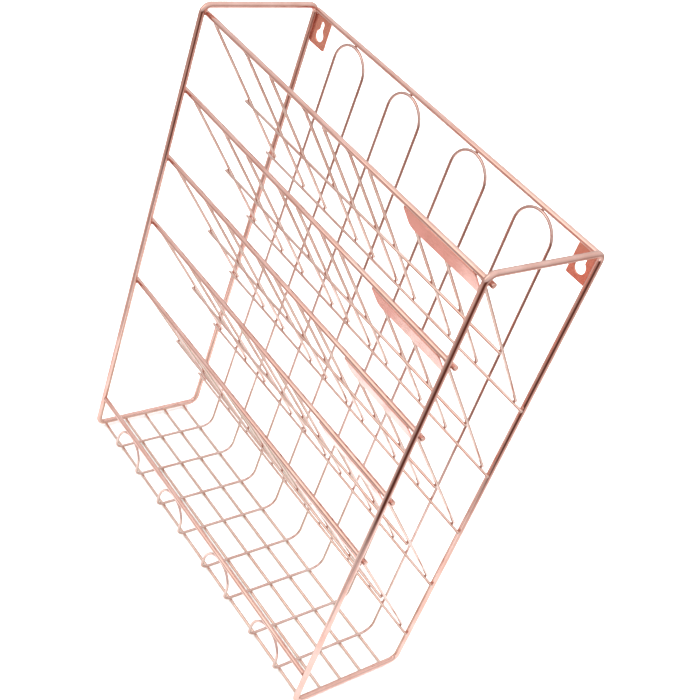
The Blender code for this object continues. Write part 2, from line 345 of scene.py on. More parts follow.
def end_faces(rows, columns):
    """The two faces that close the first and the last row of an open grid."""
    ring = np.arange(columns)
    return [ring[::-1].tolist(), (ring + (rows - 1) * columns).tolist()]


def sweep(path, across, radius, sides, nose=0.0):
    """A round profile carried along a path; a path with no nose is a closed ring.

    A ring's points are centre + radius * (cos(a) * across + sin(a) * tangent x across). At a cut
    end the last rings follow a quarter circle of the nose radius, and a flat face closes it. The
    UV map is the way along the path and the way round the wire, in mm.
    """
    path = np.asarray(path, float)
    across = np.broadcast_to(np.asarray(across, float), path.shape)
    closed = nose == 0.0
    widths = np.full(len(path), radius)
    if closed:
        tangent = np.roll(path, -1, 0) - np.roll(path, 1, 0)
    else:
        turn = np.linspace(0, math.pi / 2, NOSE_RINGS)
        reach = (nose * (1 - np.sin(turn)))[:, None]
        inset = radius - nose * (1 - np.cos(turn))
        head = unit(path[1] - path[0])
        tail = unit(path[-2] - path[-1])
        path = np.concatenate([(path[0] + head * reach)[::-1], path[1:-1], path[-1] + tail * reach])
        widths = np.concatenate([inset[::-1], widths[1:-1], inset])
        first, last = across[:1].repeat(NOSE_RINGS, 0), across[-1:].repeat(NOSE_RINGS, 0)
        across = np.concatenate([first, across[1:-1], last])
        tangent = np.gradient(path, axis=0)
        tangent[:NOSE_RINGS] = head
        tangent[-NOSE_RINGS:] = -tail
    tangent = unit(tangent)
    across = unit(across - tangent * (across * tangent).sum(1, keepdims=True))
    other = np.cross(tangent, across)
    angle = np.linspace(0, 2 * math.pi, sides, endpoint=False)
    ring = np.cos(angle)[:, None] * across[:, None] + np.sin(angle)[:, None] * other[:, None]
    points = path[:, None] + widths[:, None, None] * ring

    count = len(path)
    quads = grid_faces(count, sides, closed)
    row, column = np.divmod(np.arange(len(quads)), sides)
    step = np.linalg.norm(np.diff(path, axis=0, append=path[:1]), axis=1)
    along = np.concatenate([[0.0], np.cumsum(step)]) / MM
    round_at = 2 * math.pi * radius / sides / MM
    low, high = along[row], along[row + 1]
    left, right = column * round_at, (column + 1) * round_at
    uv = np.stack([low, left, low, right, high, right, high, left], -1).reshape(-1, 2)
    faces = quads.tolist()
    if not closed:
        faces += end_faces(count, sides)
        uv = np.concatenate([uv, np.zeros((2 * sides, 2))])
    return points.reshape(-1, 3), faces, uv


def piece(name, surface, finish, nodes=()):
    """A mesh object of a surface, smooth but for its end faces; it rides on the rack and stands for nodes."""
    points, faces, uv = surface
    mesh = bpy.data.meshes.new(name)
    mesh.from_pydata(np.asarray(points).tolist(), [], faces)
    if uv is not None:
        layer = mesh.uv_layers.new(name="surface_mm")
        layer.data.foreach_set("uv", np.asarray(uv, np.float32).ravel())
    mesh.polygons.foreach_set("use_smooth", np.array([len(face) == 4 for face in faces]))
    mesh.materials.append(finish)
    mesh.update()
    item = bpy.data.objects.new(name, mesh)
    bpy.context.scene.collection.objects.link(item)
    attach(item, "root")
    if nodes:
        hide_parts(*nodes)


def add_node(tree, kind, inputs=None, **settings):
    """Add a node with its settings; an input is a value, an opaque colour or another node's output."""
    item = tree.nodes.new(kind)
    for key, value in settings.items():
        setattr(item, key, value)
    for key, value in (inputs or {}).items():
        socket = item.inputs[key]
        if isinstance(value, bpy.types.NodeSocket):
            tree.links.new(value, socket)
        else:
            socket.default_value = (*value, 1.0) if socket.type == "RGBA" else value
    return item


def new_finish(name):
    """A finish with its tree and output node, or the finish alone if it is already made."""
    finish = bpy.data.materials.get(name)
    if finish:
        return finish, None, None
    finish = bpy.data.materials.new(name)
    finish.use_nodes = True
    finish.node_tree.nodes.clear()
    return finish, finish.node_tree, finish.node_tree.nodes.new("ShaderNodeOutputMaterial")


def plate_over(tree, out, colour, metal, roughness, height, strength, depth):
    """Close a plated finish: its pattern as fine relief, then the metal, to the output."""
    relief = {"Height": height, "Strength": strength, "Distance": depth}
    dents = add_node(tree, "ShaderNodeBump", relief)
    surface = {
        "Base Color": colour.outputs["Result"],
        "Metallic": metal,
        "Roughness": roughness,
        "Normal": dents.outputs["Normal"],
    }
    shader = add_node(tree, "ShaderNodeBsdfPrincipled", surface)
    tree.links.new(shader.outputs["BSDF"], out.inputs["Surface"])


def plated_wire(name, tone, roughness):
    """Bright rose gold plating on drawn steel wire.

    The wire comes from a die, so hair-fine lines run along it and stretch the gloss that way. The
    plating is a little redder where it is thin, in patches of some 20 mm.
    """
    finish, tree, out = new_finish(name)
    if tree is None:
        return finish
    place = add_node(tree, "ShaderNodeTexCoord")
    # die lines 0.25 mm apart round the wire and 12 mm long; real ones are finer and would not show
    drawn = {"Vector": place.outputs["UV"], "Scale": (1 / 12.0, 1 / 0.25, 1.0)}
    lines_at = add_node(tree, "ShaderNodeMapping", drawn).outputs["Vector"]
    fine = {"Vector": lines_at, "Scale": 1.0, "Detail": 2.0}
    lines = add_node(tree, "ShaderNodeTexNoise", fine, noise_dimensions="2D").outputs["Fac"]
    broad = {"Vector": place.outputs["Object"], "Scale": 1 / (20 * MM), "Detail": 3.0, "Roughness": 0.6}
    patch = add_node(tree, "ShaderNodeTexNoise", broad)
    cover = {"Value": patch.outputs["Fac"], "From Min": 0.35, "From Max": 0.7}
    spread = add_node(tree, "ShaderNodeMapRange", cover)
    worn = {"Factor": spread.outputs["Result"], "A": tone, "B": THIN_PLATING * tone}
    colour = add_node(tree, "ShaderNodeMix", worn, data_type="RGBA")
    bright, dull = roughness * 0.7, roughness * 1.35
    shine = {"Value": lines, "From Min": 0.25, "From Max": 0.75, "To Min": bright, "To Max": dull}
    gloss = add_node(tree, "ShaderNodeMapRange", shine)
    plate_over(tree, out, colour, 1.0, gloss.outputs["Result"], lines, strength=0.12, depth=0.04 * MM)
    return finish


def plated_sheet(name, tone, roughness, metal=1.0):
    """Rose gold plating on rolled and stamped steel sheet.

    Rolling leaves faint lines along X that show as a soft streak in the gloss, and the plating is
    a little darker in broad clouds.
    """
    finish, tree, out = new_finish(name)
    if tree is None:
        return finish
    place = add_node(tree, "ShaderNodeTexCoord").outputs["Object"]
    # rolling lines 0.4 mm apart and 30 mm long, coarser than the real ones so that they show
    rolled = {"Vector": place, "Scale": (1 / (30 * MM), 1 / (0.4 * MM), 1 / (0.4 * MM))}
    lines_at = add_node(tree, "ShaderNodeMapping", rolled).outputs["Vector"]
    fine = {"Vector": lines_at, "Scale": 1.0, "Detail": 2.0}
    lines = add_node(tree, "ShaderNodeTexNoise", fine).outputs["Fac"]
    broad = {"Vector": place, "Scale": 1 / (14 * MM), "Detail": 4.0, "Roughness": 0.55}
    clouds = add_node(tree, "ShaderNodeTexNoise", broad)
    clouded = {"Factor": clouds.outputs["Fac"], "A": tone, "B": tone * CLOUDED_PLATING}
    colour = add_node(tree, "ShaderNodeMix", clouded, data_type="RGBA")
    bright, dull = roughness * 0.88, roughness * 1.12
    shine = {"Value": lines, "From Min": 0.3, "From Max": 0.7, "To Min": bright, "To Max": dull}
    gloss = add_node(tree, "ShaderNodeMapRange", shine)
    plate_over(tree, out, colour, metal, gloss.outputs["Result"], lines, strength=0.05, depth=0.05 * MM)
    return finish


def plated_weld(name, tone):
    """Resistance welds under the plating: small dimpled nuggets, duller and browner than the wire."""
    finish, tree, out = new_finish(name)
    if tree is None:
        return finish
    place = add_node(tree, "ShaderNodeTexCoord").outputs["Object"]
    # dimples 0.6 mm across, as the squeezed metal sets
    small = {"Vector": place, "Scale": 1 / (0.6 * MM), "Detail": 3.0}
    dimples = add_node(tree, "ShaderNodeTexNoise", small).outputs["Fac"]
    dimpled = {"Factor": dimples, "A": tone, "B": tone * DIMPLED_PLATING}
    colour = add_node(tree, "ShaderNodeMix", dimpled, data_type="RGBA")
    plate_over(tree, out, colour, 1.0, WELD_ROUGH, dimples, strength=0.5, depth=0.15 * MM)
    return finish


def frame_finish(colours):
    """Finish of the side frames and the rails."""
    return plated_wire("rose_gold_plated_thick_wire", colours.frame_tone, THICK_WIRE_ROUGH)


def grid_finish(colours):
    """Finish of the hairpins and the cross wires."""
    return plated_wire("rose_gold_plated_thin_wire", colours.grid_tone, THIN_WIRE_ROUGH)


def sheet_finishes(colours):
    """Finishes of the label plates and of the keyhole plates."""
    label = plated_sheet("rose_gold_plated_label_sheet", colours.label_tone, LABEL_ROUGH)
    hanger = plated_sheet("rose_gold_plated_hanger_sheet", colours.hanger_tone, HANGER_ROUGH, HANGER_METAL)
    return label, hanger


def floor_plane(pocket, sizes):
    """A pocket floor: its top run, its direction down, its outer normal and its leg length.

    The floor is the tangent from the top run that clears the back wire by one wire and the gap:
    the direction to the back wire, turned about X by asin(stack / distance).
    """
    grid_r = sizes.grid_wire / 2
    stack = sizes.grid_wire + sizes.weld_gap
    low, high = edges(f"hairpin_{pocket}_1")
    top = np.array([0.0, low[1] + grid_r, high[2] - grid_r])
    back = middle(f"back_wire_{pocket}")
    reach = np.array([0.0, back[1] - top[1], back[2] - top[2]])
    distance = float(np.linalg.norm(reach))
    lean = math.asin(stack / distance)
    y, z = reach[1] / distance, reach[2] / distance
    down = np.array([0.0, y * math.cos(lean) - z * math.sin(lean), y * math.sin(lean) + z * math.cos(lean)])
    outer = np.array([0.0, down[2], -down[1]])
    return top, down, outer, math.sqrt(distance**2 - stack**2)


def straight_wire(node, diameter, sizes):
    """A straight wire along X through the middle of a node's box, from end to end."""
    path = np.array([middle(node), middle(node)])
    path[:, 0] = np.array(edges(node))[:, 0]
    return sweep(path, UP, diameter / 2, sizes.sides, sizes.wire_nose)


class RACK_OT_side_frames(bpy.types.Operator):
    """Closed side frames of thick wire"""

    bl_idname = "rack.side_frames"
    bl_label = "Side Frames"

    def execute(self, context):
        sizes = context.scene.rack_sizes
        finish = frame_finish(context.scene.rack_finish)
        radius = sizes.frame_wire / 2
        for node in ("side_frame_left", "side_frame_right"):
            low, high = edges(node)
            x = (low[0] + high[0]) / 2
            front, back = low[1] + radius, high[1] - radius
            base, top = low[2] + radius, high[2] - radius
            corners = [(x, front, base), (x, front, top), (x, back, top), (x, back, base)]
            path = rounded_path(corners, sizes.frame_bend, steps=10, closed=True)
            surface = sweep(path, TO_RIGHT, radius, sizes.sides + FRAME_MORE_SIDES)
            piece(f"{node}_plated", surface, finish, [node])
        return {"FINISHED"}


class RACK_OT_rails(bpy.types.Operator):
    """Front rails, lip rail and back top rail"""

    bl_idname = "rack.rails"
    bl_label = "Rails"

    def execute(self, context):
        sizes = context.scene.rack_sizes
        finish = frame_finish(context.scene.rack_finish)
        for node in [f"front_rail_{k}" for k in POCKETS] + ["lip_rail", "back_top_rail"]:
            surface = straight_wire(node, sizes.rail_wire, sizes)
            piece(f"{node}_plated", surface, finish, [node])
        return {"FINISHED"}


class RACK_OT_hairpins(bpy.types.Operator):
    """Hairpins of the five pocket floors"""

    bl_idname = "rack.hairpins"
    bl_label = "Hairpins"

    def execute(self, context):
        sizes = context.scene.rack_sizes
        finish = grid_finish(context.scene.rack_finish)
        radius = sizes.grid_wire / 2
        for pocket in POCKETS:
            top, down, outer, length = floor_plane(pocket, sizes)
            foot = down * (length + sizes.hairpin_tail)
            for index in HAIRPINS:
                node = f"hairpin_{pocket}_{index}"
                low, high = edges(node)
                left = top + TO_RIGHT * (low[0] + radius)
                right = top + TO_RIGHT * (high[0] - radius)
                path = rounded_path([left + foot, left, right, right + foot], sizes.hairpin_bend, steps=7)
                surface = sweep(path, outer, radius, sizes.sides, sizes.wire_nose)
                piece(f"{node}_plated", surface, finish, [node])
        return {"FINISHED"}


class RACK_OT_cross_wires(bpy.types.Operator):
    """Middle wires, back wires and tray wires"""

    bl_idname = "rack.cross_wires"
    bl_label = "Cross Wires"

    def execute(self, context):
        sizes = context.scene.rack_sizes
        finish = grid_finish(context.scene.rack_finish)
        for kind in ("middle_wire", "back_wire", "tray_wire"):
            for index in POCKETS:
                node = f"{kind}_{index}"
                surface = straight_wire(node, sizes.grid_wire, sizes)
                piece(f"{node}_plated", surface, finish, [node])
        return {"FINISHED"}


def loop_spread(loop, sizes):
    """Middle of a loop's ribs, half its span, and how far its back arch leans along X."""
    low, high = edges(f"back_loop_{loop}")
    lean = {1: sizes.loop_lean, 4: -sizes.loop_lean}.get(loop, 0.0)
    return (low[0] + high[0] - lean) / 2, (high[0] - low[0] - abs(lean) - sizes.grid_wire) / 2, lean


def loop_lines(loop, sizes):
    """Centre line of a back loop and the normals of the sheet that it lies in.

    The loop is a flat racetrack, two straight legs and two half circles, laid on a bent sheet.
    Along the sheet w runs down the lip, round the toe, back along the tray, round the heel and up
    the wall; with turns t1 and t2 done at w, its direction is t1 + t2 past straight down. Up the
    wall the loop moves sideways in proportion, to the full lean where the arch starts.
    """
    radius = sizes.grid_wire / 2
    low, high = edges(f"back_loop_{loop}")
    x, half, lean = loop_spread(loop, sizes)
    lip_y, back_y = low[1] + radius, high[1] - radius
    rib_z, top_z = low[2] + radius, high[2] - radius
    lip = middle("lip_rail")
    stack = sizes.rail_wire / 2 + radius + sizes.weld_gap
    lip_z = lip[2] - math.sqrt(stack**2 - (lip_y - lip[1]) ** 2)
    toe, heel = sizes.toe_bend, sizes.heel_bend
    fall = lip_z - rib_z - toe
    toe_end = fall + toe * math.pi / 2
    run = back_y - heel - lip_y - toe
    heel_start = toe_end + run
    heel_end = heel_start + heel * math.pi / 2
    total = heel_end + top_z - rib_z - heel

    bends = [np.linspace(fall, toe_end, 9), np.linspace(heel_start, heel_end, 11)]
    leg = np.concatenate([*bends, [total / 2 + heel_end / 2]])
    arch = np.linspace(0, math.pi, 25)
    side = np.full(len(leg), half)
    at_x = np.concatenate([side, half * np.cos(arch), -side, -half * np.cos(arch)])
    at_w = np.concatenate([leg, total - half + half * np.sin(arch), leg[::-1], half - half * np.sin(arch)])

    t1 = np.clip((at_w - fall) / (toe_end - fall), 0, 1) * math.pi / 2
    t2 = np.clip((at_w - heel_start) / (heel_end - heel_start), 0, 1) * math.pi / 2
    y = lip_y + toe * (1 - np.cos(t1)) + np.clip(at_w - toe_end, 0, run) + heel * np.sin(t2)
    z = lip_z - np.clip(at_w, 0, fall) - toe * np.sin(t1) + heel * (1 - np.cos(t2))
    z = z + np.clip(at_w - heel_end, 0, None)
    at_x = x + at_x + lean * np.clip((at_w - heel_end) / (total - half - heel_end), 0, 1)
    turn = t1 + t2 - math.pi / 2
    normals = np.stack([np.zeros_like(turn), -np.sin(turn), np.cos(turn)], 1)
    return np.stack([at_x, y, z], 1), normals


class RACK_OT_back_loops(bpy.types.Operator):
    """Closed loops that make the back, the tray ribs and the lip arches"""

    bl_idname = "rack.back_loops"
    bl_label = "Back Loops"

    def execute(self, context):
        sizes = context.scene.rack_sizes
        tone = context.scene.rack_finish.loop_tone
        finish = plated_wire("rose_gold_plated_loop_wire", tone, LOOP_WIRE_ROUGH)
        for loop in LOOPS:
            node = f"back_loop_{loop}"
            path, normals = loop_lines(loop, sizes)
            surface = sweep(path, normals, sizes.grid_wire / 2, sizes.sides)
            piece(f"{node}_plated", surface, finish, [node])
        return {"FINISHED"}


def outline_points(width, height, low_radius, high_radius, steps=8):
    """A rectangle about its middle, counter-clockwise, with quarter-circle corners."""
    turn = np.linspace(0, math.pi / 2, steps)
    parts = []
    # the side and the height of each corner, and where its arc starts, in half turns
    for right, high, start in ((1, -1, -0.5), (1, 1, 0.0), (-1, 1, 0.5), (-1, -1, 1.0)):
        radius = high_radius if high > 0 else low_radius
        angle = turn + start * math.pi
        centre = (right * (width / 2 - radius), high * (height / 2 - radius))
        parts.append(np.stack([centre[0] + radius * np.cos(angle), centre[1] + radius * np.sin(angle)], 1))
    return np.concatenate(parts)


def rounded_plate(outline, thickness, edge):
    """A plate from an outline: rows shrink to the middle on both faces, with rounded edges.

    A row is the outline moved in by a distance and lifted to a height: over the rim the distance is
    edge * (1 - cos(a)) and the height runs round a quarter circle on each side; on the faces the
    row is the outline scaled towards the middle.
    """
    tangent = np.roll(outline, -1, 0) - np.roll(outline, 1, 0)
    inward = unit(np.stack([-tangent[:, 1], tangent[:, 0]], 1))
    turn = np.linspace(0, math.pi / 2, 5)
    half = thickness / 2
    inset = np.concatenate([edge * (1 - np.sin(turn)), edge * (1 - np.cos(turn))])
    lift = np.concatenate([-half + edge * (1 - np.cos(turn)), half - edge * (1 - np.sin(turn))])
    rim = outline + inward * inset[:, None, None]
    rim = np.concatenate([rim, np.broadcast_to(lift[:, None, None], rim.shape[:2] + (1,))], 2)
    inner = np.array([0.05, 0.5, 0.97])
    face = (outline + inward * edge) * inner[:, None, None]
    below, above = (
        np.concatenate([face, np.full(face.shape[:2] + (1,), height)], 2) for height in (-half, half)
    )
    rows = np.concatenate([below, rim, above[::-1]])
    count = len(outline)
    faces = grid_faces(len(rows), count, False).tolist() + end_faces(len(rows), count)
    return rows.reshape(-1, 3), faces


def label_place(pocket, sizes):
    """Middle of a label plate, its direction down, its outer normal and its height down the slope."""
    down, outer = floor_plane(pocket, sizes)[1:3]
    low, high = edges(f"label_plate_{pocket}")
    height = (high[2] - low[2] - sizes.label_sheet * abs(outer[2])) / abs(down[2])
    return (low + high) / 2, down, outer, height


class RACK_OT_label_plates(bpy.types.Operator):
    """Label plates on the fronts of the pockets"""

    bl_idname = "rack.label_plates"
    bl_label = "Label Plates"

    def execute(self, context):
        sizes = context.scene.rack_sizes
        finish = sheet_finishes(context.scene.rack_finish)[0]
        for pocket in POCKETS:
            node = f"label_plate_{pocket}"
            centre, down, outer, height = label_place(pocket, sizes)
            low, high = edges(node)
            outline = outline_points(high[0] - low[0], height, sizes.label_corner, LABEL_TOP_CORNER)
            points, faces = rounded_plate(outline, sizes.label_sheet, LABEL_EDGE)
            # the plate's own Y is up the slope and its own Z looks out of the pocket
            axes = np.array([TO_RIGHT, -down, outer])
            piece(f"{node}_plated", (points @ axes + centre, faces, None), finish, [node])
        return {"FINISHED"}


def keyhole_reach(angle, bore, slot, rise):
    """Distance from the bore's middle to the keyhole's edge, with the angle taken from straight up.

    Past the neck it is the bore's radius; nearer to the slot it is slot / 2 over the sine; up the
    slot it is the far crossing of the line with the slot's round end.
    """
    off = np.abs(angle)
    half = slot / 2
    neck = math.asin(half / (bore / 2))
    shoulder = math.atan2(half, rise)
    wall = half / np.maximum(np.sin(off), 1e-6)
    end = rise * np.cos(off) + np.sqrt(np.maximum(half**2 - (rise * np.sin(off)) ** 2, 0.0))
    return np.where(off > neck, bore / 2, np.where(off > shoulder, wall, end))


def keyhole_plate(size, sizes):
    """A plate about its bore: each ray from the bore's middle runs from the keyhole to the rim.

    The rim on a ray is the nearest of the outline's edge lines, offset / (normal . ray). A row goes
    round at one share of the way along the rays; the rows go out over the front, round the rim, in
    over the back and up through the hole, so that the surface closes on itself.
    """
    width, thickness, height = size
    drop = sizes.keyhole_low_edge + sizes.keyhole_bore / 2
    outline = outline_points(width, height, sizes.hanger_corner, sizes.hanger_corner)
    outline[:, 1] += height / 2 - drop
    corners = np.arctan2(-outline[:, 0], outline[:, 1])
    neck = math.asin(sizes.keyhole_slot / sizes.keyhole_bore)
    shoulder = math.atan2(sizes.keyhole_slot / 2, sizes.keyhole_rise)
    # rays to the outline's points, up the slot, to the neck and all round; of near twins one is kept
    fine = np.concatenate([np.linspace(-1, 1, 25) * shoulder, np.array([-1, 1]) * neck])
    angle = np.unique(np.round(np.concatenate([corners, fine, np.linspace(-np.pi, np.pi, 65)[:-1]]), 4))
    angle = angle[np.concatenate([[True], np.diff(angle) > 2e-3])]
    rays = np.stack([-np.sin(angle), np.cos(angle)], 1)
    run = np.roll(outline, -1, 0) - outline
    normal = np.stack([run[:, 1], -run[:, 0]], 1)
    facing = np.maximum(rays @ normal.T, 1e-12)
    rim = ((normal * outline).sum(1) / facing).min(1)
    hole = keyhole_reach(angle, sizes.keyhole_bore, sizes.keyhole_slot, sizes.keyhole_rise)
    turn = np.linspace(0, math.pi / 2, 4)
    # one more row past each rounded edge keeps the faces flat
    inset = np.append(HANGER_EDGE * (1 - np.cos(turn)), 2 * HANGER_EDGE)[:, None]
    sunk = np.append(HANGER_EDGE * (1 - np.sin(turn)), 0.0)
    across = np.concatenate([hole + inset, rim - inset[::-1]])
    lift = thickness / 2 - np.concatenate([sunk, sunk[::-1]])
    across = np.concatenate([across, across[::-1]])
    lifted = np.broadcast_to(np.concatenate([lift, -lift[::-1]])[:, None], across.shape)
    rows = np.stack([across * rays[:, 0], across * rays[:, 1], lifted], 2)
    return rows.reshape(-1, 3), grid_faces(len(rows), len(angle), True)[:, ::-1].tolist()


class RACK_OT_hanger_plates(bpy.types.Operator):
    """Keyhole plates in the upper back corners"""

    bl_idname = "rack.hanger_plates"
    bl_label = "Keyhole Plates"

    def execute(self, context):
        sizes = context.scene.rack_sizes
        finish = sheet_finishes(context.scene.rack_finish)[1]
        for node in ("hanger_plate_left", "hanger_plate_right"):
            low, high = edges(node)
            points, faces = keyhole_plate(high - low, sizes)
            # the plate's own Y is up and its own Z looks away from the wall
            axes = np.array([TO_RIGHT, UP, -TO_WALL])
            centre = (low + high) / 2
            centre[2] = low[2] + sizes.keyhole_low_edge + sizes.keyhole_bore / 2
            piece(f"{node}_plated", (points @ axes + centre, faces, None), finish, [node])
        return {"FINISHED"}


def nuggets(spots, normals, spread, rise, rows=7, columns=12):
    """Weld nuggets: spheres flattened along their normals.

    A point is spot + spread * cos(e) * (cos(a) * u + sin(a) * v) + rise * sin(e) * normal, with e
    from near one pole to near the other and a round the nugget; flat faces close the poles.
    """
    normals = unit(normals)
    helper = np.where(np.abs(normals[:, :1]) > 0.8, TO_WALL, TO_RIGHT)
    u = unit(np.cross(normals, helper))
    v = np.cross(normals, u)
    spread, rise = spread[:, None, None, None], rise[:, None, None, None]
    pole = math.radians(84)
    lift = np.linspace(-pole, pole, rows)[:, None]
    angle = np.linspace(0, 2 * math.pi, columns, endpoint=False)
    flat = u[:, None, None] * np.cos(angle)[:, None] + v[:, None, None] * np.sin(angle)[:, None]
    points = spots[:, None, None] + spread * np.cos(lift)[..., None] * flat
    points = points + rise * np.sin(lift)[..., None] * normals[:, None, None]
    offset = np.arange(len(spots))[:, None, None] * rows * columns
    faces = (grid_faces(rows, columns, False) + offset).reshape(-1, 4).tolist()
    faces += (np.array(end_faces(rows, columns)) + offset).reshape(-1, columns).tolist()
    return points.reshape(-1, 3), faces, None


class RACK_OT_welds(bpy.types.Operator):
    """Weld nuggets where the wires cross, and beads along the plates' edges"""

    bl_idname = "rack.welds"
    bl_label = "Welds"

    def execute(self, context):
        sizes = context.scene.rack_sizes
        colours = context.scene.rack_finish
        finish = plated_weld("rose_gold_plated_weld", colours.weld_tone)
        label_finish, hanger_finish = sheet_finishes(colours)
        thin, rail, thick = sizes.grid_wire / 2, sizes.rail_wire / 2, sizes.frame_wire / 2
        half_gap = sizes.weld_gap / 2
        # from a wire's middle to the middle of the gap beside it
        hop, rail_hop = thin + half_gap, rail + half_gap
        dot = (THIN_NUGGET[0] * thin, THIN_NUGGET[1] * thin + half_gap)
        rib_x, half, lean = np.array([loop_spread(loop, sizes) for loop in LOOPS]).T
        loop_low, loop_high = edges("back_loop_1")
        heel_z, arch_z = loop_low[2] + thin + sizes.heel_bend, loop_high[2] - thin - half[0]
        frame_x = middle("side_frame_right")[0]
        both = np.array([-1.0, 1.0])

        for pocket in POCKETS:
            top, down, outer = floor_plane(pocket, sizes)[:3]
            pins = np.array([edges(f"hairpin_{pocket}_{index}") for index in HAIRPINS])[..., 0]
            legs = (pins + [thin, -thin]).ravel()
            # a hairpin's top run is welded to the rail a quarter of its width from each side
            runs = (0.75 * pins + 0.25 * pins[:, ::-1]).ravel()
            rail_at, back_at = middle(f"front_rail_{pocket}"), middle(f"back_wire_{pocket}")
            cross_at = middle(f"middle_wire_{pocket}")
            leg_x = rib_x + lean * (back_at[2] - heel_z) / (arch_z - heel_z)
            to_rail = unit(np.array([0.0, rail_at[1] - top[1], rail_at[2] - top[2]]))
            behind, ahead = back_at + TO_WALL * hop, rail_at - TO_WALL * rail_hop
            rows = [
                (legs, cross_at - outer * hop, outer, *dot),
                (legs, back_at - outer * hop, outer, *dot),
                (runs, top + to_rail * hop, to_rail, *dot),
                (np.concatenate([leg_x - half, leg_x + half]), behind, TO_WALL, *dot),
                (both * frame_x, behind, TO_WALL, *dot),
                (both * frame_x, ahead, TO_WALL, RAIL_NUGGET[0] * rail, RAIL_NUGGET[1] * rail),
            ]
            self.weld(f"welds_pocket_{pocket}", rows, finish)
            centre, *_, height = label_place(pocket, sizes)
            low, high = edges(f"label_plate_{pocket}")
            ends = np.array([low[0] + LABEL_BEAD_INSET, high[0] - LABEL_BEAD_INSET])
            line = self.row(ends, centre - down * height / 2)
            self.bead(f"bead_label_{pocket}", line, rail_at, rail, label_finish, "label_sheet")

        lip, back_rail = middle("lip_rail"), middle("back_top_rail")
        lip_off = loop_low[1] + thin - lip[1]
        stack = rail + thin + sizes.weld_gap
        lip_way = np.array([0.0, lip_off, -math.sqrt(stack**2 - lip_off**2)])
        back_way = np.array([0.0, loop_high[1] - thin - back_rail[1], loop_high[2] - thin - back_rail[2]])
        ends = both * (frame_x - thick - half_gap)
        butt = (BUTT_NUGGET[0] * rail, BUTT_NUGGET[1] * rail)
        rows = [
            (rib_x, lip + unit(lip_way) * rail_hop, lip_way, *dot),
            (rib_x + lean, back_rail + unit(back_way) * rail_hop, back_way, *dot),
            (ends, lip, TO_RIGHT, *butt),
            (ends, back_rail, TO_RIGHT, *butt),
        ]
        self.weld("welds_arches", rows, finish)

        upright_y = edges("side_frame_right")[1][1] - thick
        for side, sign in (("left", -1), ("right", 1)):
            low, high = edges(f"hanger_plate_{side}")
            y = (low[1] + high[1]) / 2
            near, far = low + HANGER_BEAD_INSET, high - HANGER_BEAD_INSET
            line = np.array([[near[0], y, high[2]], [far[0], y, high[2]]])
            self.bead(f"bead_hanger_{side}_top", line, back_rail, rail, hanger_finish, "hanger_sheet")
            rim = max(high[0], -low[0]) * sign
            line = np.array([[rim, y, near[2]], [rim, y, far[2]]])
            upright = np.array([frame_x * sign, upright_y, 0.0])
            self.bead(f"bead_hanger_{side}_side", line, upright, thick, hanger_finish, "hanger_sheet")

        # across each tray wire: the ribs of the loops, then the side frames
        tray_x = np.concatenate([rib_x - half, rib_x + half, both * (frame_x - TRAY_INSET * thick)])
        rows = [(tray_x, middle(f"tray_wire_{index}") + UP * hop, UP, *dot) for index in POCKETS]
        self.weld("welds_tray", rows, finish)
        return {"FINISHED"}

    def bead(self, name, line, wire, radius, finish, slot):
        """A bead that fills the gap between a plate's edge and the wire beside it.

        Its middle line is the edge moved by half the gap, edge + way * gap / 2, where the way runs
        square from the edge to the wire's middle and the gap is its length less the wire's radius.
        """
        along = unit(line[1] - line[0])
        way = wire - line[0]
        way = way - along * (way @ along)
        half_gap = (np.linalg.norm(way) - radius) / 2
        path = line + unit(way) * half_gap
        surface = sweep(path, unit(way), half_gap + BEAD_OVERLAP, BEAD_SIDES, BEAD_NOSE)
        piece(name, surface, finish)

    def row(self, places, at):
        """Points at the given X, with the Y and Z of one point."""
        return np.stack([places, np.full(len(places), at[1]), np.full(len(places), at[2])], 1)

    def weld(self, name, rows, finish):
        """One piece of a group's nuggets: rows of places along X, a point, a normal, a spread and a rise."""
        places, points, *shape = zip(*rows)
        counts = [len(row) for row in places]
        spots = np.concatenate([self.row(*pair) for pair in zip(places, points)])
        normals, spread, rise = (np.repeat(np.array(value), counts, 0) for value in shape)
        piece(name, nuggets(spots, normals, spread, rise), finish)


